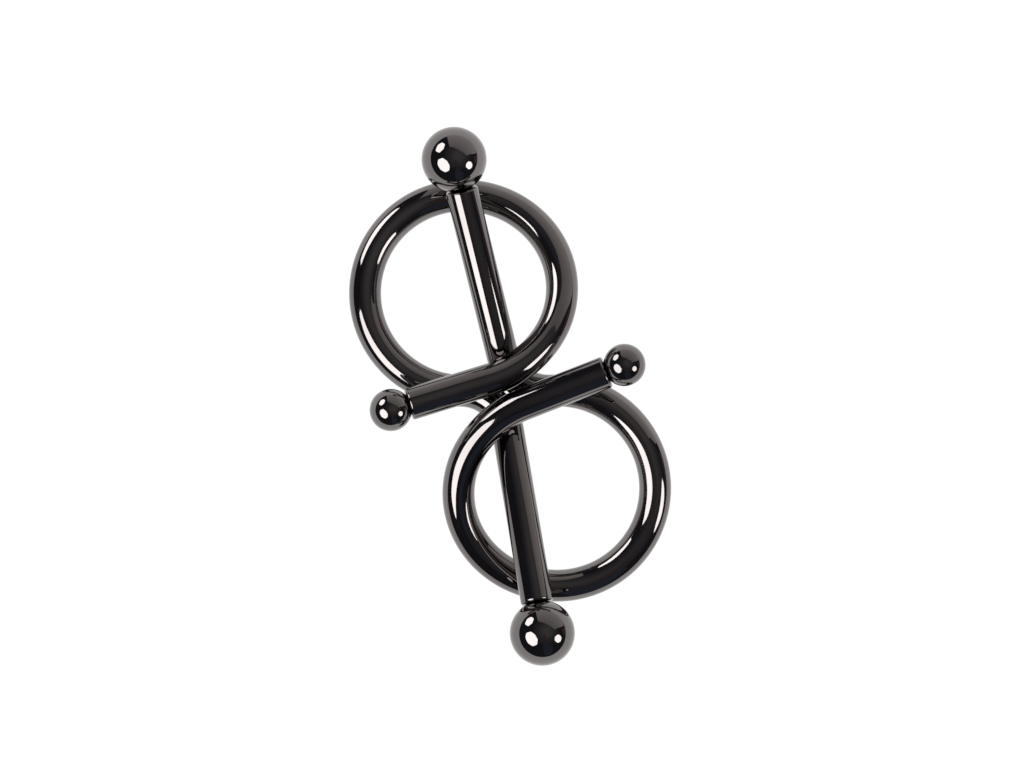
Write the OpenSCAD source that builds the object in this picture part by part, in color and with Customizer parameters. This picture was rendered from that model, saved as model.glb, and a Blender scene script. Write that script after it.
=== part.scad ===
// Linked pair of bent round bars. Each bar is a tail, an almost full ring, a tight
// reverse bend and a straight leg, and carries a small and a large screwed-on ball.
// Millimetres, +Z up, lying on the plane z = 0 with the legs along Y.

/* [Bar] */
// diameter of the round bar
bar_d = 4; // [3:0.1:6]
// bevel round each flat end of a bar
end_bevel = 0.3; // [0.1:0.05:0.6]

/* [Ring] */
// centre line radius of the ring, on its main arc
ring_r = 12.21; // [10:0.01:16]
// centre line radius where the ring opens out towards the tail
close_r = 13.14; // [8:0.01:16]
// sweep of the front half on the main radius, from the far point of the ring
front_sweep = 117.1; // [90:0.1:140]
// sweep of the front half next to the tail
close_sweep = 40.4; // [30:0.1:80]
// sweep of the back half, from the far point to the reverse bend
back_sweep = 183.2; // [150:0.1:190]
// how far each half of the ring leans out of the mean plane, as an angle
half_lean = 7; // [4:0.1:9]

/* [Tail and leg] */
// length of the straight tail of bar 1 and of bar 2
tail_len_1 = 10.58; // [3:0.01:20]
tail_len_2 = 11.09; // [3:0.01:20]
// centre line radius of the reverse bend between ring and leg
bend_r = 5.93; // [4:0.01:8]
// sweep of the reverse bend
bend_sweep = 79.7; // [60:0.1:100]
// twist of the reverse bend about the bar, which lifts the leg over the other ring
bend_twist = 9; // [6:0.1:16]
// length of the straight leg of bar 1 and of bar 2
leg_len_1 = 22.09; // [10:0.01:40]
leg_len_2 = 21.54; // [10:0.01:40]

/* [Balls and studs] */
// diameter of the large ball on the leg
big_d = 8; // [6:0.1:12]
// diameter of the small ball on the tail
small_d = 5.2; // [4.5:0.1:8]
// radius of the flat that each ball sits on
seat_r = 1.25; // [1.15:0.05:1.6]
// radius of a stud over its thread
stud_r = 0.98; // [0.6:0.01:1.2]
// radial play between a stud and its bore
stud_play = 0.04; // [0.02:0.01:0.08]
// how deep a stud sits in the bar
stud_in_bar = 4; // [2:0.1:6]
// how deep a stud sits in the large ball
stud_in_big = 3.2; // [2:0.1:4]
// how deep a stud sits in the small ball
stud_in_small = 2.6; // [1.5:0.1:3]
// cone at each end of a stud
stud_point = 0.2; // [0.1:0.05:0.4]
// space left past a stud at the bottom of its bore
bore_spare = 0.3; // [0.1:0.05:0.5]

/* [Pose of the pair] */
// lean of each bar about its own X, lifting the tail
lean = 12; // [4:0.1:14]
// turn of both bars about Z
turn = -13.5; // [-20:0.1:6]
// how far the two bars are turned apart from a point-symmetric pair, each
splay = 2.1; // [0:0.1:6]
// half the distance between the ring centres, along X and Y
half_x = 3.26; // [2:0.01:5]
half_y = 13.27; // [12:0.01:16]

/* [Hidden] */
$fn = 96;
// thin swell at each change of curve, so that neighbouring runs overlap and join
swell = 0.015;
bar_r = bar_d / 2;
bore_r = stud_r + stud_play;
big_seat = sqrt(pow(big_d / 2, 2) - seat_r * seat_r);
small_seat = sqrt(pow(small_d / 2, 2) - seat_r * seat_r);
cut = 1;
far_r = 100;
// moves the pair so that its box stands on the origin
shift = [0.007, 0.371, 4.539];

// side 1 is bar 1 and side -1 is bar 2
function tail_of(side) = side > 0 ? tail_len_1 : tail_len_2;
function leg_of(side) = side > 0 ? leg_len_1 : leg_len_2;

// ---- moving along a centre line: +X is the way travelled, left is +Y ----

// carries its children to the end of a bend of radius r and sweep a; side 1 is left, -1 right
module past_bend(r, a, side) {
    translate([0, side * r, 0]) rotate([0, 0, side * a]) translate([0, -side * r, 0]) children();
}

// round bar along a bend that starts at the origin
module bend(r, a, side) {
    translate([0, side * r, 0]) mirror([0, side < 0 ? 1 : 0, 0]) rotate([0, 0, -90])
        rotate_extrude(angle = a) translate([r, 0]) circle(r = bar_r);
}

module bead() {
    sphere(r = bar_r + swell);
}

// round bar that runs straight on and ends in a bevelled flat
module straight_end(len) {
    rotate([0, 90, 0]) {
        cylinder(r = bar_r, h = len - end_bevel);
        translate([0, 0, len - end_bevel])
            cylinder(r1 = bar_r, r2 = bar_r - end_bevel, h = end_bevel);
    }
}

// frame at the end of the tail, facing out along it
module at_tail_end(side) {
    rotate([-half_lean, 0, 0]) past_bend(ring_r, front_sweep, -1)
        past_bend(close_r, close_sweep, -1) translate([tail_of(side), 0, 0]) children();
}

// frame at the end of the leg, facing out along it
module at_leg_end(side) {
    rotate([half_lean, 0, 0]) mirror([1, 0, 0]) past_bend(ring_r, back_sweep, -1)
        rotate([bend_twist, 0, 0]) past_bend(bend_r, bend_sweep, 1)
            translate([leg_of(side), 0, 0]) children();
}

// front half of the ring and the tail, from the far point of the ring
module front_half(side) {
    rotate([-half_lean, 0, 0]) {
        bend(ring_r, front_sweep, -1);
        past_bend(ring_r, front_sweep, -1) {
            bead();
            bend(close_r, close_sweep, -1);
            past_bend(close_r, close_sweep, -1) {
                bead();
                straight_end(tail_of(side));
            }
        }
    }
}

// back half of the ring, the reverse bend and the leg
module back_half(side) {
    rotate([half_lean, 0, 0]) mirror([1, 0, 0]) {
        bend(ring_r, back_sweep, -1);
        past_bend(ring_r, back_sweep, -1) rotate([bend_twist, 0, 0]) {
            bead();
            bend(bend_r, bend_sweep, 1);
            past_bend(bend_r, bend_sweep, 1) {
                bead();
                straight_end(leg_of(side));
            }
        }
    }
}

// blind bore into the end of a bar; the frame faces out of the end
module end_bore() {
    rotate([0, 90, 0]) translate([0, 0, -stud_in_bar - bore_spare])
        cylinder(r = bore_r, h = stud_in_bar + bore_spare + cut);
}

// one bar in its own frame, ring centre at the origin
module bar(side) {
    translate([0, ring_r, 0]) difference() {
        union() {
            front_half(side);
            back_half(side);
            bead();
        }
        at_tail_end(side) end_bore();
        at_leg_end(side) end_bore();
    }
}

// ball with a flat and a blind bore; the flat is on the plane x = 0 and faces -X
module ball(d, seat, depth) {
    translate([seat, 0, 0]) difference() {
        sphere(r = d / 2);
        translate([-seat - far_r, -far_r, -far_r]) cube([far_r, 2 * far_r, 2 * far_r]);
        translate([-seat - cut, 0, 0]) rotate([0, 90, 0])
            cylinder(r = bore_r, h = depth + bore_spare + cut);
    }
}

// stud across the joint plane x = 0, with a cone at each end
module stud(in_ball) {
    rotate([0, 90, 0]) translate([0, 0, -stud_in_bar]) {
        cylinder(r1 = stud_r - stud_point, r2 = stud_r, h = stud_point);
        translate([0, 0, stud_point])
            cylinder(r = stud_r, h = stud_in_bar + in_ball - 2 * stud_point);
        translate([0, 0, stud_in_bar + in_ball - stud_point])
            cylinder(r1 = stud_r, r2 = stud_r - stud_point, h = stud_point);
    }
}

// puts a bar, or what is fixed to it, in the pair: side 1 or -1
module placed(side) {
    translate(shift + side * [-half_x, half_y, 0])
        rotate([0, 0, turn + (side > 0 ? -splay : 180 + splay)]) rotate([-lean, 0, 0]) children();
}

module bar_1() { color([0.23, 0.23, 0.24]) placed(1) bar(1); }
module bar_2() { color([0.23, 0.23, 0.24]) placed(-1) bar(-1); }
module on_leg(side) { placed(side) translate([0, ring_r, 0]) at_leg_end(side) children(); }
module on_tail(side) { placed(side) translate([0, ring_r, 0]) at_tail_end(side) children(); }
module ball_large_1() { color([0.28, 0.28, 0.3]) on_leg(1) ball(big_d, big_seat, stud_in_big); }
module ball_large_2() { color([0.28, 0.28, 0.3]) on_leg(-1) ball(big_d, big_seat, stud_in_big); }
module ball_small_1() { color([0.28, 0.28, 0.3]) on_tail(1) ball(small_d, small_seat, stud_in_small); }
module ball_small_2() { color([0.28, 0.28, 0.3]) on_tail(-1) ball(small_d, small_seat, stud_in_small); }
module stud_large_1() { color([0.5, 0.5, 0.52]) on_leg(1) stud(stud_in_big); }
module stud_large_2() { color([0.5, 0.5, 0.52]) on_leg(-1) stud(stud_in_big); }
module stud_small_1() { color([0.5, 0.5, 0.52]) on_tail(1) stud(stud_in_small); }
module stud_small_2() { color([0.5, 0.5, 0.52]) on_tail(-1) stud(stud_in_small); }

bar_1();
bar_2();
ball_large_1();
ball_large_2();
ball_small_1();
ball_small_2();
stud_large_1();
stud_large_2();
stud_small_1();
stud_small_2();
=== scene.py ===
import math

import bpy
from bpy.props import FloatProperty, IntProperty, PointerProperty, StringProperty
from mathutils import Matrix, Vector


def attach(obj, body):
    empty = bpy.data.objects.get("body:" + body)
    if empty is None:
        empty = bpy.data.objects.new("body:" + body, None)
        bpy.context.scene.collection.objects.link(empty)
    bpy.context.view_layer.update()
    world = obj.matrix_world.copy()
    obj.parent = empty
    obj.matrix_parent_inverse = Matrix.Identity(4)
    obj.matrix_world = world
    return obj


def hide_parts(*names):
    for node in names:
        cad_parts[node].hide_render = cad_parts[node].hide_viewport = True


bl_info = {
    "name": "Linked Ball-End Ring Bars",
    "version": (1, 0, 0),
    "blender": (4, 5, 0),
    "location": "3D View > Sidebar > Ring Bars",
    "description": "Builds a linked pair of polished ring bars with screw-on balls",
    "category": "Object",
}

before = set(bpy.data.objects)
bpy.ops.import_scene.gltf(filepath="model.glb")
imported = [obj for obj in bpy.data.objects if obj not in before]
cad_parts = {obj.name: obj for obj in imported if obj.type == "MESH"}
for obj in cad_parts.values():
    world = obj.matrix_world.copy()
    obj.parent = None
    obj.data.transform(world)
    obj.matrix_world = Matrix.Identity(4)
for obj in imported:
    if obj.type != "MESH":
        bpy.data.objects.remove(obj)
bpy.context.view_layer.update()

MM = 0.001

# sides and rows of a ball, and the small cap left at its pole, in radians
BALL_SIDES = 128
BALL_ROWS = 104
BALL_POLE = 0.012
# sides of a thread, and the sections that round off a bar's end
THREAD_SIDES = 40
BEVEL_ROWS = 8
# edges sharper than this stay sharp
SHARP = math.radians(28)


# ---------------------------------------------------------------- sizes and colours


def size(name, description, value, top=100.0):
    """A length in millimetres, shown in the sidebar."""
    return FloatProperty(name=name, description=description, default=value, min=0.0, max=top)


def angle(name, description, value):
    """An angle, kept in radians and shown in degrees."""
    return FloatProperty(name=name, description=description, default=math.radians(value),
                         unit="ROTATION", subtype="ANGLE")


def colour(name, description, value):
    """A colour as an sRGB hex value."""
    return StringProperty(name=name, description=description, default=value)


class BarSizes(bpy.types.PropertyGroup):
    """Centre line and section of one bar, in millimetres"""

    bar_r: size("Bar radius", "Radius of the round bar", 2.0)
    end_bevel: size("End bevel", "Rounding at each flat end", 0.3)
    end_land: size("End land", "Narrow ring kept flat inside the bevel", 0.12)
    ring_r: size("Ring radius", "Centre line radius of the ring", 12.21)
    close_r: size("Closing radius", "Centre line radius near the tail", 13.14)
    front_sweep: angle("Front sweep", "Front half on the ring radius", 117.1)
    close_sweep: angle("Closing sweep", "Front half on the closing radius", 40.4)
    back_sweep: angle("Back sweep", "Back half up to the reverse bend", 183.2)
    half_lean: angle("Half lean", "Lean of each half out of the mean plane", 7.0)
    tail_1: size("Tail 1 length", "Straight run to the small ball of bar 1", 10.58)
    tail_2: size("Tail 2 length", "Straight run to the small ball of bar 2", 11.09)
    bend_r: size("Reverse bend radius", "Centre line radius of the reverse bend", 5.93)
    bend_sweep: angle("Reverse bend sweep", "Sweep of the reverse bend", 79.7)
    bend_twist: angle("Reverse bend twist", "Twist that lifts the leg", 9.0)
    leg_1: size("Leg 1 length", "Straight run to the large ball of bar 1", 22.09)
    leg_2: size("Leg 2 length", "Straight run to the large ball of bar 2", 21.54)
    sides: IntProperty(name="Sides", description="Sides round the bar", default=112, min=24,
                       max=160)
    step: size("Step", "Spacing of the rings along a bend", 0.36)


class EndSizes(bpy.types.PropertyGroup):
    """Balls, bores and studs, in millimetres"""

    big_r: size("Large ball radius", "Ball on the leg", 4.0)
    small_r: size("Small ball radius", "Ball on the tail", 2.6)
    seat_r: size("Seat radius", "Flat that a ball sits on", 1.25)
    bore_r: size("Bore radius", "Tapped bore in a bar or a ball", 1.02)
    bore_lip: size("Bore lip", "Countersink at the mouth of a bar's bore", 0.08)
    bar_bore: size("Bar bore depth", "Depth of the bore in a bar's end", 4.3)
    big_bore: size("Large ball bore depth", "Depth of the bore in the large ball", 3.5)
    small_bore: size("Small ball bore depth", "Depth of the bore in the small ball", 2.9)
    thread_r: size("Thread radius", "Radius over the thread's crests", 0.98)
    thread_deep: size("Thread depth", "From crest to root", 0.235)
    pitch: size("Pitch", "Advance of the thread in one turn", 0.4)
    stud_bar: size("Stud in bar", "Length of a stud inside the bar", 4.0)
    stud_big: size("Stud in large ball", "Length of a stud inside the large ball", 3.2)
    stud_small: size("Stud in small ball", "Length of a stud inside the small ball", 2.6)
    stud_point: size("Stud point", "Length of the cone at each end of a stud", 0.2)


class PairSizes(bpy.types.PropertyGroup):
    """How the two bars lie, in millimetres"""

    lean: angle("Lean", "Lean of each bar that lifts its tail", 12.0)
    turn: angle("Turn", "Turn of both bars about the upright", -13.5)
    splay: angle("Splay", "Turn of each bar away from the other", 2.1)
    half_x: size("Half spacing X", "Half the distance between ring centres", 3.26)
    half_y: size("Half spacing Y", "Half the distance between ring centres", 13.27)
    shift_x: FloatProperty(name="Shift X", description="Centres the pair", default=0.007)
    shift_y: FloatProperty(name="Shift Y", description="Centres the pair", default=0.371)
    shift_z: FloatProperty(name="Shift Z", description="Stands the pair on its plane",
                           default=4.539)


class FinishColours(bpy.types.PropertyGroup):
    """Colours as sRGB hex values"""

    nickel: colour("Black nickel", "Plating on bars and balls", "#777372")
    nickel_deep: colour("Black nickel, deep", "Thicker plating", "#6F6B6A")
    steel: colour("Turned steel", "Studs", "#B9B7B3")
    wall: colour("Wall", "Pale wall beyond the table", "#FFFAF8")
    room: colour("Room", "Unlit room round the table", "#34343B")
    room_high: colour("Room, high", "Room above the table", "#565458")
    room_top: colour("Room, overhead", "Ceiling over the camera", "#737072")
    blue: colour("Blue drape", "Dim dark blue cloth beside the table", "#484C5C")
    rust: colour("Rust strip", "Dim brown edge of the table", "#5C4A48")


class StageSizes(bpy.types.PropertyGroup):
    """Camera and lights"""

    distance: size("Camera distance", "Camera height above the pair, mm", 500.0, 2000.0)
    lens: FloatProperty(name="Lens", description="Focal length, mm", default=142.25)
    roll: angle("Camera roll", "Turn of the camera about the upright", -11.4)
    aim_x: FloatProperty(name="Aim X", description="Point under the camera, mm", default=0.39)
    aim_y: FloatProperty(name="Aim Y", description="Point under the camera, mm", default=1.13)
    light_far: size("Light distance", "Distance of the softboxes, mm", 650.0, 2000.0)
    wall_far: size("Wall distance", "Distance of the pale wall, mm", 900.0, 2000.0)
    light: FloatProperty(name="Light", description="Brightness of the softboxes", default=5.6)


# ---------------------------------------------------------------- materials


def linear(hexa):
    """An sRGB hex value as linear red, green, blue and alpha."""
    parts = [int(hexa[i:i + 2], 16) / 255 for i in (1, 3, 5)]
    return [c / 12.92 if c <= 0.04045 else ((c + 0.055) / 1.055) ** 2.4 for c in parts] + [1.0]


def node(tree, kind, at, settings=None, **links):
    """Adds a node: settings are its attributes and socket values, links its inputs' sources."""
    made = tree.nodes.new(kind)
    made.location = at
    for key, value in (settings or {}).items():
        if key in made.inputs:
            made.inputs[key].default_value = value
        else:
            setattr(made, key, value)
    for key, source in links.items():
        tree.links.new(source, made.inputs[key.replace("_", " ")])
    return made


def fresh(name):
    """A material with an empty node tree."""
    made = bpy.data.materials.new(name)
    made.use_nodes = True
    made.node_tree.nodes.clear()
    return made, made.node_tree


def ramp(made, stops):
    """Sets a colour ramp's stops from (place, colour) pairs."""
    band = made.color_ramp
    while len(band.elements) > len(stops):
        band.elements.remove(band.elements[-1])
    while len(band.elements) < len(stops):
        band.elements.new(1.0)
    for element, (place, value) in zip(band.elements, stops):
        element.position, element.color = place, value
    return made


def black_nickel(name, rough, lines):
    """Black nickel plate over steel, buffed to a mirror on a cotton mop."""
    c = bpy.context.scene.ring_finish
    made, t = fresh(name)
    coords = node(t, "ShaderNodeTexCoord", (-1200, 0)).outputs["Object"]
    # plating thickness drifts over about 9 mm, which shifts the grey very slightly
    drift = node(t, "ShaderNodeTexNoise", (-900, 300),
                 {"Scale": 110.0, "Detail": 2.0, "Roughness": 0.5}, Vector=coords)
    tone = ramp(node(t, "ShaderNodeValToRGB", (-600, 300), Fac=drift.outputs["Fac"]),
                [(0.35, linear(c.nickel_deep)), (0.65, linear(c.nickel))])
    # handling haze: soft patches 3 mm across where the mirror is a little duller
    haze = node(t, "ShaderNodeTexNoise", (-900, 0),
                {"Scale": 330.0, "Detail": 3.0, "Roughness": 0.6}, Vector=coords)
    dull = node(t, "ShaderNodeMapRange", (-600, 0),
                {"From Min": 0.4, "From Max": 0.75, "To Min": rough, "To Max": rough + 0.035},
                Value=haze.outputs["Fac"])
    # mop lines about 0.15 mm apart, much shallower than a scratch
    stretch = node(t, "ShaderNodeMapping", (-900, -300), {"Scale": (1.0, 0.12, 1.0)},
                   Vector=coords)
    mop = node(t, "ShaderNodeTexNoise", (-700, -300),
               {"Scale": 6500.0, "Detail": 2.0, "Roughness": 0.6},
               Vector=stretch.outputs["Vector"])
    # the buffed surface is faintly uneven over about 4 mm
    wave = node(t, "ShaderNodeTexNoise", (-700, -550),
                {"Scale": 240.0, "Detail": 1.0, "Roughness": 0.4}, Vector=coords)
    fine = node(t, "ShaderNodeBump", (-400, -300), {"Strength": lines, "Distance": 0.00001},
                Height=mop.outputs["Fac"])
    broad = node(t, "ShaderNodeBump", (-200, -400), {"Strength": 0.12, "Distance": 0.00008},
                 Height=wave.outputs["Fac"], Normal=fine.outputs["Normal"])
    shade = node(t, "ShaderNodeBsdfPrincipled", (0, 0), {"Metallic": 1.0},
                 Base_Color=tone.outputs["Color"], Roughness=dull.outputs["Result"],
                 Normal=broad.outputs["Normal"])
    node(t, "ShaderNodeOutputMaterial", (300, 0), Surface=shade.outputs["BSDF"])
    return made


def turned_steel():
    """Bright stainless stud stock, thread cut on a lathe and left as cut."""
    c = bpy.context.scene.ring_finish
    made, t = fresh("turned_stainless_stud")
    coords = node(t, "ShaderNodeTexCoord", (-900, 0)).outputs["Object"]
    # cutting oil and burnish leave marks about 0.5 mm across
    marks = node(t, "ShaderNodeTexNoise", (-700, 0),
                 {"Scale": 2000.0, "Detail": 3.0, "Roughness": 0.6}, Vector=coords)
    rough = node(t, "ShaderNodeMapRange", (-450, 0),
                 {"From Min": 0.3, "From Max": 0.7, "To Min": 0.16, "To Max": 0.34},
                 Value=marks.outputs["Fac"])
    bump = node(t, "ShaderNodeBump", (-450, -250), {"Strength": 0.3, "Distance": 0.00001},
                Height=marks.outputs["Fac"])
    shade = node(t, "ShaderNodeBsdfPrincipled", (0, 0),
                 {"Metallic": 1.0, "Base Color": linear(c.steel)},
                 Roughness=rough.outputs["Result"], Normal=bump.outputs["Normal"])
    node(t, "ShaderNodeOutputMaterial", (300, 0), Surface=shade.outputs["BSDF"])
    return made


# ---------------------------------------------------------------- hand tools


def vec(x, y, z):
    return Vector((x, y, z)) * MM


def object_mode():
    if bpy.context.object and bpy.context.object.mode != "OBJECT":
        bpy.ops.object.mode_set(mode="OBJECT")


def nothing_selected():
    object_mode()
    bpy.ops.object.select_all(action="DESELECT")


def settle():
    """Puts the object's place, turn and size into its mesh."""
    object_mode()
    bpy.ops.object.transform_apply(location=True, rotation=True, scale=True)


def open_ring(at, facing, radius, sides):
    """Adds an open circle of edges that faces along a direction, and goes into edit mode."""
    nothing_selected()
    bpy.ops.mesh.primitive_circle_add(vertices=sides, radius=radius, fill_type="NOTHING",
                                      location=at,
                                      rotation=facing.to_track_quat("Z", "Y").to_euler())
    settle()
    bpy.ops.object.mode_set(mode="EDIT")
    bpy.ops.mesh.select_all(action="SELECT")


def draw_on(move, grow, about):
    """Extrudes the selected ring by a vector, then scales it about a point."""
    bpy.ops.mesh.extrude_region_move(TRANSFORM_OT_translate={"value": move})
    if abs(grow - 1) > 1e-6:
        bpy.ops.transform.resize(value=(grow, grow, grow), center_override=about)


def close_up():
    """Closes both open ends and points every face outwards."""
    bpy.ops.mesh.select_all(action="DESELECT")
    bpy.ops.mesh.select_non_manifold()
    bpy.ops.mesh.fill_holes(sides=0)
    bpy.ops.mesh.select_all(action="SELECT")
    bpy.ops.mesh.normals_make_consistent(inside=False)
    bpy.ops.object.mode_set(mode="OBJECT")


def finish_piece(name, material, body, cad_node):
    """Names, shades and paints the active object, and ties it to the frame."""
    made = bpy.context.object
    made.name = made.data.name = name
    bpy.ops.object.shade_smooth_by_angle(angle=SHARP)
    made.data.materials.clear()
    made.data.materials.append(material)
    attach(made, body)
    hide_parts(cad_node)
    made.select_set(False)
    return made


# ---------------------------------------------------------------- where things are


def bent(r, sweep, side):
    """From the start of a bend to its end; the bar runs along +X and side 1 turns towards +Y."""
    return (Matrix.Translation(vec(0, side * r, 0)) @ Matrix.Rotation(side * sweep, 4, "Z")
            @ Matrix.Translation(vec(0, -side * r, 0)))


def far_point(which):
    """Frame at the far point of a bar's ring; which is 1 or 2."""
    p, b = bpy.context.scene.ring_pair, bpy.context.scene.ring_bar
    side = 1 if which == 1 else -1
    turn = p.turn - p.splay if which == 1 else p.turn + p.splay + math.pi
    place = vec(p.shift_x - side * p.half_x, p.shift_y + side * p.half_y, p.shift_z)
    return (Matrix.Translation(place) @ Matrix.Rotation(turn, 4, "Z")
            @ Matrix.Rotation(-p.lean, 4, "X") @ Matrix.Translation(vec(0, b.ring_r, 0)))


def runs(which):
    """The two halves of a bar from its far point.

    Each half is its bends, as (frame, radius, sweep, side), and then the frame of its end.
    """
    b = bpy.context.scene.ring_bar
    tail_len, leg_len = (b.tail_1, b.leg_1) if which == 1 else (b.tail_2, b.leg_2)
    start = far_point(which)
    front = [start @ Matrix.Rotation(-b.half_lean, 4, "X")]
    front.append(front[0] @ bent(b.ring_r, b.front_sweep, -1))
    front.append(front[1] @ bent(b.close_r, b.close_sweep, -1))
    tail = front[2] @ Matrix.Translation(vec(tail_len, 0, 0))
    back = [start @ Matrix.Rotation(b.half_lean, 4, "X") @ Matrix.Scale(-1, 4, Vector((1, 0, 0)))]
    back.append(back[0] @ bent(b.ring_r, b.back_sweep, -1)
                @ Matrix.Rotation(b.bend_twist, 4, "X"))
    back.append(back[1] @ bent(b.bend_r, b.bend_sweep, 1))
    leg = back[2] @ Matrix.Translation(vec(leg_len, 0, 0))
    front_bends = [(front[0], b.ring_r, b.front_sweep, -1),
                   (front[1], b.close_r, b.close_sweep, -1)]
    back_bends = [(back[0], b.ring_r, b.back_sweep, -1), (back[1], b.bend_r, b.bend_sweep, 1)]
    return front_bends, tail, back_bends, leg


def heading(place):
    """The way a bar's end faces."""
    return (place.to_3x3() @ Vector((1, 0, 0))).normalized()


def bar_end(which, large):
    """Centre of a bar's flat end, and the way it faces."""
    _, tail, _, leg = runs(which)
    place = leg if large else tail
    return place.translation.copy(), heading(place)


# ---------------------------------------------------------------- pieces


def sweep_bend(bend, forwards):
    """Spins the selected ring round one bend."""
    place, r, sweep, side = bend
    b = bpy.context.scene.ring_bar
    centre = place @ vec(0, side * r, 0)
    axis = (place.to_3x3() @ Vector((0, 0, 1))).normalized()
    # a spin's positive angle turns clockwise seen down its axis
    amount = -side * sweep * (1 if place.determinant() > 0 else -1) * (1 if forwards else -1)
    bpy.ops.mesh.spin(steps=max(8, round(r * sweep / b.step)), angle=amount, center=centre,
                      axis=axis)


def end_profile():
    """Section of a bar's end as (along the bar, radius), from the bore's bottom to the full bar."""
    b, e = bpy.context.scene.ring_bar, bpy.context.scene.ring_end
    lip = [(-e.bar_bore, e.bore_r), (-e.bore_lip, e.bore_r), (0, e.bore_r + e.bore_lip)]
    land = b.bar_r - b.end_bevel
    lip += [(0, land - b.end_land)]
    rounded = [(-b.end_bevel * (1 - math.cos(a)), land + b.end_bevel * math.sin(a))
               for a in [math.pi / 2 * i / BEVEL_ROWS for i in range(BEVEL_ROWS + 1)]]
    return lip + rounded


def make_bar(which, material):
    """One bar: bored leg end, leg, reverse bend, ring, tail, bored tail end."""
    b = bpy.context.scene.ring_bar
    front, tail, back, leg = runs(which)
    profile = end_profile()
    tail_len, leg_len = (b.tail_1, b.leg_1) if which == 1 else (b.tail_2, b.leg_2)
    out, tip = heading(leg), leg.translation
    open_ring(tip + out * profile[0][0] * MM, out, profile[0][1] * MM, b.sides)
    for (x0, r0), (x1, r1) in zip(profile, profile[1:]):
        draw_on(out * (x1 - x0) * MM, r1 / r0, tip + out * x1 * MM)
    draw_on(-out * (leg_len - b.end_bevel) * MM, 1, tip)
    for bend in reversed(back):
        sweep_bend(bend, False)
    for bend in front:
        sweep_bend(bend, True)
    out, tip = heading(tail), tail.translation
    draw_on(out * (tail_len - b.end_bevel) * MM, 1, tip)
    profile = profile[::-1]
    for (x0, r0), (x1, r1) in zip(profile, profile[1:]):
        draw_on(out * (x1 - x0) * MM, r1 / r0, tip + out * x1 * MM)
    close_up()
    return finish_piece(f"ring_bar_{which}", material, f"bar_{which}", f"bar_{which}")


def make_ball(which, large, material):
    """A ball with a flat seat and a blind bore."""
    e = bpy.context.scene.ring_end
    label = "large" if large else "small"
    radius, deep = (e.big_r, e.big_bore) if large else (e.small_r, e.small_bore)
    tip, out = bar_end(which, large)
    seat = math.asin(e.seat_r / radius)
    arc = [seat + (math.pi - BALL_POLE - seat) * (i + 1) / BALL_ROWS for i in range(BALL_ROWS)]
    profile = [(deep, e.bore_r), (0, e.bore_r), (0, e.seat_r)]
    profile += [(radius * (math.cos(seat) - math.cos(a)), radius * math.sin(a)) for a in arc]
    open_ring(tip + out * deep * MM, out, e.bore_r * MM, BALL_SIDES)
    for (x0, r0), (x1, r1) in zip(profile, profile[1:]):
        draw_on(out * (x1 - x0) * MM, r1 / r0, tip + out * x1 * MM)
    close_up()
    name = f"{label}_ball_{which}"
    return finish_piece(name, material, f"ball_{label}_{which}", f"ball_{label}_{which}")


def make_stud(which, large, material):
    """A threaded stud: one pitch of thread section screwed up the axis, with a cone at each end."""
    e = bpy.context.scene.ring_end
    label = "large" if large else "small"
    in_ball = e.stud_big if large else e.stud_small
    length = e.stud_bar + in_ball
    root = e.thread_r - e.thread_deep
    nothing_selected()
    bpy.ops.mesh.primitive_plane_add(size=0.1 * MM, location=vec(root, 0, -e.pitch))
    settle()
    bpy.ops.object.mode_set(mode="EDIT")
    bpy.ops.mesh.select_mode(type="VERT")
    bpy.ops.mesh.select_all(action="SELECT")
    bpy.ops.mesh.merge(type="CENTER")
    # flank, crest, flank and root, each as (outwards, share of the pitch)
    for across, up in [(e.thread_deep, 0.40), (0, 0.12), (-e.thread_deep, 0.40), (0, 0.08)]:
        step = vec(across, 0, up * e.pitch)
        bpy.ops.mesh.extrude_region_move(TRANSFORM_OT_translate={"value": step})
    bpy.ops.object.mode_set(mode="OBJECT")
    made = bpy.context.object
    screw = made.modifiers.new("thread", "SCREW")
    screw.axis, screw.angle, screw.screw_offset = "Z", math.tau, e.pitch * MM
    screw.iterations = round(length / e.pitch) + 2
    screw.steps = screw.render_steps = THREAD_SIDES
    screw.use_merge_vertices, screw.merge_threshold = True, 1e-6
    bpy.ops.object.modifier_apply(modifier=screw.name)
    bpy.ops.object.mode_set(mode="EDIT")
    for height, up in ((e.stud_point, -1), (length - e.stud_point, 1)):
        bpy.ops.mesh.select_all(action="SELECT")
        bpy.ops.mesh.bisect(plane_co=vec(0, 0, height), plane_no=(0, 0, up),
                            clear_outer=True)
    bpy.ops.mesh.select_all(action="SELECT")
    bpy.ops.mesh.remove_doubles(threshold=2e-6)
    bpy.ops.mesh.delete_loose()
    # a short cone leads in at each end: both open rims go out along the axis and shrink
    narrow = 1 - e.stud_point / e.thread_r
    bpy.ops.mesh.select_all(action="DESELECT")
    bpy.ops.mesh.select_non_manifold()
    bpy.ops.mesh.extrude_region_move(TRANSFORM_OT_translate={"value": (0, 0, 0)})
    bpy.ops.transform.resize(value=(narrow, narrow, length / (length - 2 * e.stud_point)),
                             center_override=vec(0, 0, length / 2))
    close_up()
    tip, out = bar_end(which, large)
    made.matrix_world = (Matrix.Translation(tip - out * e.stud_bar * MM)
                         @ out.to_track_quat("Z", "Y").to_matrix().to_4x4())
    settle()
    name = f"threaded_stud_{label}_{which}"
    return finish_piece(name, material, f"stud_{label}_{which}", f"stud_{label}_{which}")


# ---------------------------------------------------------------- stage


def towards(x, y, z):
    """A direction given as right, up and out of the view from above, in the row frame."""
    roll = -bpy.context.scene.ring_stage.roll
    c, s = math.cos(roll), math.sin(roll)
    return Vector((c * x + s * y, -s * x + c * y, z)).normalized()


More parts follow.
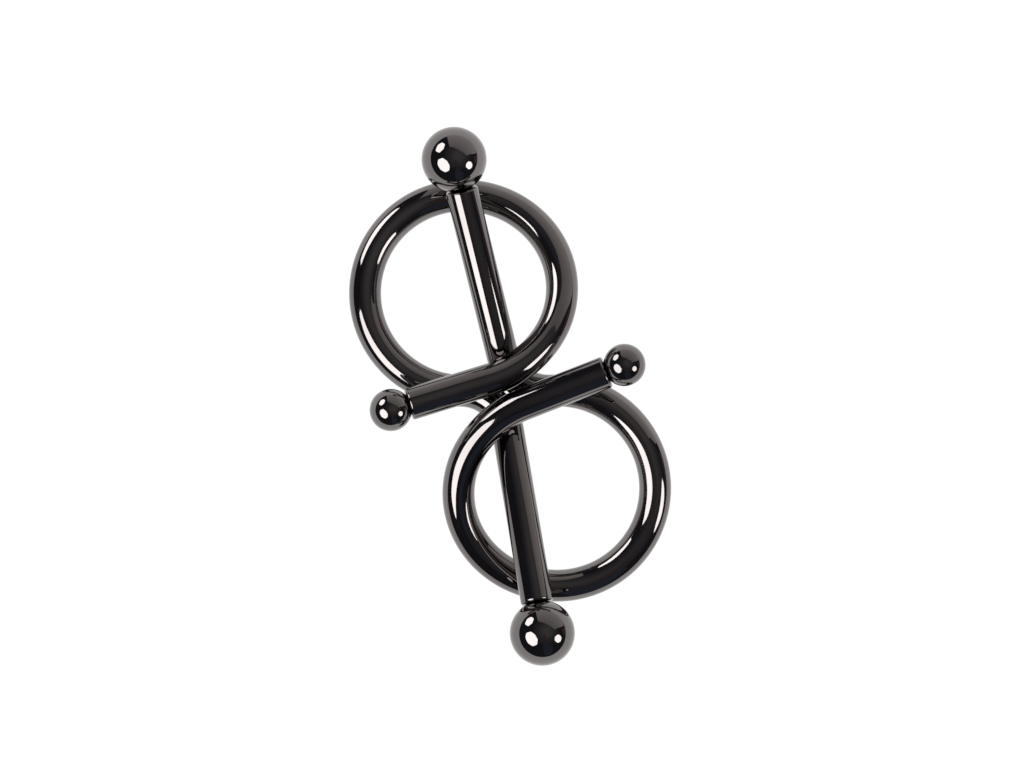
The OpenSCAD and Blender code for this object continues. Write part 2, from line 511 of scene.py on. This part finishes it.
def plate(name, corners, far, material, smooth):
    """A card through corner directions, its corners rounded, seen only in reflections."""
    nothing_selected()
    bpy.ops.mesh.primitive_circle_add(vertices=len(corners), radius=1.0, fill_type="NGON")
    made = bpy.context.object
    for point, way in zip(made.data.vertices, corners):
        point.co = towards(*way) * far * MM
    made.name = made.data.name = name
    made.data.materials.append(material)
    if smooth:
        bpy.ops.object.mode_set(mode="EDIT")
        bpy.ops.mesh.select_all(action="SELECT")
        bpy.ops.mesh.bevel(offset=smooth * far * MM, segments=6, affect="VERTICES")
        bpy.ops.object.mode_set(mode="OBJECT")
    made.visible_camera = False
    made.select_set(False)
    return made


def seen(across, up):
    """The direction a ball mirrors at a place on its face, in ball radii from its centre."""
    out = math.sqrt(1 - across ** 2 - up ** 2)
    return (2 * out * across, 2 * out * up, 2 * out * out - 1)


def glow(name, tone, bright):
    """A surface that only gives off light."""
    made, t = fresh(name)
    shine = node(t, "ShaderNodeEmission", (0, 0), {"Color": tone, "Strength": bright})
    node(t, "ShaderNodeOutputMaterial", (300, 0), Surface=shine.outputs["Emission"])
    return made


# ---------------------------------------------------------------- operators


class RINGS_OT_bars(bpy.types.Operator):
    """Model both bent bars, from bored leg end to bored tail end"""

    bl_idname = "ring_bars.bars"
    bl_label = "Bent Bars"

    def execute(self, context):
        finish = black_nickel("black_nickel_buffed_bar", 0.03, 0.04)
        for which in (1, 2):
            make_bar(which, finish)
        return {"FINISHED"}


class RINGS_OT_large_balls(bpy.types.Operator):
    """Model the large ball on each leg"""

    bl_idname = "ring_bars.large_balls"
    bl_label = "Large Balls"

    def execute(self, context):
        finish = black_nickel("black_nickel_tumbled_ball", 0.022, 0.03)
        for which in (1, 2):
            make_ball(which, True, finish)
        return {"FINISHED"}


class RINGS_OT_small_balls(bpy.types.Operator):
    """Model the small ball on each tail"""

    bl_idname = "ring_bars.small_balls"
    bl_label = "Small Balls"

    def execute(self, context):
        finish = bpy.data.materials["black_nickel_tumbled_ball"]
        for which in (1, 2):
            make_ball(which, False, finish)
        return {"FINISHED"}


class RINGS_OT_studs(bpy.types.Operator):
    """Model the four threaded studs that hold the balls"""

    bl_idname = "ring_bars.studs"
    bl_label = "Threaded Studs"

    def execute(self, context):
        finish = turned_steel()
        for which in (1, 2):
            for large in (True, False):
                make_stud(which, large, finish)
        return {"FINISHED"}


class RINGS_OT_stage(bpy.types.Operator):
    """Set the floor, the softboxes, the reflector cards and the camera"""

    bl_idname = "ring_bars.stage"
    bl_label = "Stage"

    def execute(self, context):
        scene = context.scene
        s, c = scene.ring_stage, scene.ring_finish
        nothing_selected()
        bpy.ops.mesh.primitive_circle_add(vertices=96, radius=1.6, fill_type="NGON",
                                          location=(0, 0, -0.02 * MM))
        floor = context.object
        floor.name = floor.data.name = "lit_table"
        # opal acrylic table lit from below; it dims away from the lower left, a painted falloff of
        # the softboxes' light across the table
        made, t = fresh("opal_table_painted_falloff")
        coords = node(t, "ShaderNodeTexCoord", (-1000, 0)).outputs["Object"]
        turned = node(t, "ShaderNodeMapping", (-800, 0),
                      {"Rotation": (0, 0, -math.radians(45) - s.roll)}, Vector=coords)
        along = node(t, "ShaderNodeSeparateXYZ", (-600, 0),
                     Vector=turned.outputs["Vector"]).outputs["X"]
        dim = node(t, "ShaderNodeMapRange", (-400, 0),
                   {"From Min": 0.07, "From Max": 0.5, "To Min": 1.0, "To Max": 0.66}, Value=along)
        shade = node(t, "ShaderNodeBsdfPrincipled", (0, 0),
                     {"Base Color": linear("#303030"), "Roughness": 0.6, "Specular IOR Level": 0.0,
                      "Emission Color": (1, 1, 1, 1)}, Emission_Strength=dim.outputs["Result"])
        node(t, "ShaderNodeOutputMaterial", (300, 0), Surface=shade.outputs["BSDF"])
        floor.data.materials.append(made)
        floor.select_set(False)

        # softboxes by their corners as a polished ball would show them
        lit = glow("softbox_cloth", (1.0, 1.0, 1.0, 1.0), s.light)
        boxes = {
            "softbox_upper_left": [(-0.54, 0.26), (-0.43, 0.20), (-0.31, 0.30), (-0.26, 0.44),
                                   (-0.34, 0.50), (-0.47, 0.43)],
            "softbox_left": [(-0.475, 0.0), (-0.34, 0.045), (-0.22, -0.04), (-0.135, -0.18),
                             (-0.15, -0.33), (-0.27, -0.39), (-0.42, -0.30), (-0.50, -0.14)],
            "softbox_right": [(0.37, -0.12), (0.44, -0.05), (0.52, -0.065), (0.565, -0.15),
                              (0.54, -0.25), (0.45, -0.30), (0.36, -0.22)],
        }
        for name, corners in boxes.items():
            plate(name, [seen(*corner) for corner in corners], s.light_far, lit, 0.06)

        # a pale wall stands on the far side of the table and fades towards its top
        rim = 0.7071
        wall = [(-0.26, 0.9656 * rim), (-0.20, 0.66), (-0.135, 0.37), (0.0, 0.335), (0.14, 0.28),
                (0.27, 0.20), (0.38, 0.11), (0.46, 0.16), (0.58, 0.175), (0.65, 0.21), (0.63, 0.32),
                (0.5, 0.5), (0.3, 0.64), (0.0, rim)]
        made, t = fresh("pale_wall")
        place = node(t, "ShaderNodeTexCoord", (-1000, 0)).outputs["Object"]
        high = node(t, "ShaderNodeSeparateXYZ", (-600, 0), Vector=place).outputs["Z"]
        fade = node(t, "ShaderNodeMapRange", (-400, 0),
                    {"From Min": 0.0, "From Max": 0.75 * s.wall_far * MM,
                     "To Min": 0.74, "To Max": 0.36}, Value=high)
        shine = node(t, "ShaderNodeEmission", (-100, 0), {"Color": linear(c.wall)},
                     Strength=fade.outputs["Result"])
        node(t, "ShaderNodeOutputMaterial", (100, 0), Surface=shine.outputs["Emission"])
        plate("pale_wall", [seen(*corner) for corner in wall], s.wall_far, made, 0)
        # dim things behind the softboxes: corners, how far past them in mm, colour, brightness
        dim_things = {
            "blue_drape": ([(0.05, -0.30), (0.16, -0.28), (0.30, -0.42), (0.26, -0.62),
                            (0.08, -0.66), (0.02, -0.45)], 30, c.blue, 1.0),
            "rust_strip": ([(0.03, -0.02), (0.07, -0.03), (0.10, -0.22), (0.05, -0.24)],
                           20, c.rust, 1.0),
            "shelf_edge": ([(0.58, 0.12), (0.69, 0.14), (0.69, -0.05), (0.62, -0.08)],
                           20, c.rust, 1.4),
        }
        for name, (corners, past, tone, bright) in dim_things.items():
            plate(name, [seen(*corner) for corner in corners], s.light_far + past,
                  glow(f"dim_{name}", linear(tone), bright), 0)

        # the camera sees the same white all round; reflections see a dim room, palest overhead
        world = bpy.data.worlds.new("studio")
        scene.world = world
        world.use_nodes = True
        t = world.node_tree
        t.nodes.clear()
        way = node(t, "ShaderNodeTexCoord", (-1000, 100)).outputs["Generated"]
        over = node(t, "ShaderNodeVectorMath", (-800, 100), {"operation": "DOT_PRODUCT"})
        t.links.new(way, over.inputs[0])
        over.inputs[1].default_value = towards(0.28, 0.16, 1.0)
        band = ramp(node(t, "ShaderNodeValToRGB", (-600, 100), Fac=over.outputs["Value"]),
                    [(0.0, linear(c.room)), (0.62, linear(c.room)), (0.88, linear(c.room_high)),
                     (1.0, linear(c.room_top))])
        room = node(t, "ShaderNodeBackground", (0, 100), {"Strength": 1.0},
                    Color=band.outputs["Color"])
        white = node(t, "ShaderNodeBackground", (0, -100),
                     {"Color": (1, 1, 1, 1), "Strength": 1.0})
        path = node(t, "ShaderNodeLightPath", (-200, 300))
        mix = t.nodes.new("ShaderNodeMixShader")
        t.links.new(path.outputs["Is Camera Ray"], mix.inputs[0])
        t.links.new(room.outputs["Background"], mix.inputs[1])
        t.links.new(white.outputs["Background"], mix.inputs[2])
        node(t, "ShaderNodeOutputWorld", (400, 0), Surface=mix.outputs["Shader"])

        lens = bpy.data.cameras.new("camera")
        lens.lens = s.lens
        lens.sensor_width = 36.0
        lens.clip_start, lens.clip_end = 0.01, 20.0
        camera = bpy.data.objects.new("camera", lens)
        context.collection.objects.link(camera)
        camera.location = vec(s.aim_x, s.aim_y, s.distance + 6.25)
        camera.rotation_euler = (0, 0, s.roll)
        scene.camera = camera
        scene.view_settings.view_transform = "Standard"
        return {"FINISHED"}


class RINGS_PT_panel(bpy.types.Panel):
    """Sidebar list of the pieces and their sizes"""

    bl_idname = "RINGS_PT_panel"
    bl_label = "Ring Bars"
    bl_space_type = "VIEW_3D"
    bl_region_type = "UI"
    bl_category = "Ring Bars"

    def draw(self, context):
        for kind in OPERATORS:
            self.layout.operator(kind.bl_idname)
        for attr in GROUPS:
            box = self.layout.box()
            group = getattr(context.scene, attr)
            for key in group.__annotations__:
                box.prop(group, key)


OPERATORS = (RINGS_OT_bars, RINGS_OT_large_balls, RINGS_OT_small_balls, RINGS_OT_studs,
             RINGS_OT_stage)
GROUPS = {"ring_bar": BarSizes, "ring_end": EndSizes, "ring_pair": PairSizes,
          "ring_finish": FinishColours, "ring_stage": StageSizes}


def register():
    for kind in (*GROUPS.values(), *OPERATORS, RINGS_PT_panel):
        bpy.utils.register_class(kind)
    for attr, kind in GROUPS.items():
        setattr(bpy.types.Scene, attr, PointerProperty(type=kind))


def unregister():
    for attr in GROUPS:
        delattr(bpy.types.Scene, attr)
    for kind in (RINGS_PT_panel, *OPERATORS, *reversed(list(GROUPS.values()))):
        bpy.utils.unregister_class(kind)


def main():
    register()
    bpy.ops.ring_bars.bars()
    bpy.ops.ring_bars.large_balls()
    bpy.ops.ring_bars.small_balls()
    bpy.ops.ring_bars.studs()
    bpy.ops.ring_bars.stage()


if __name__ == "__main__":
    main()
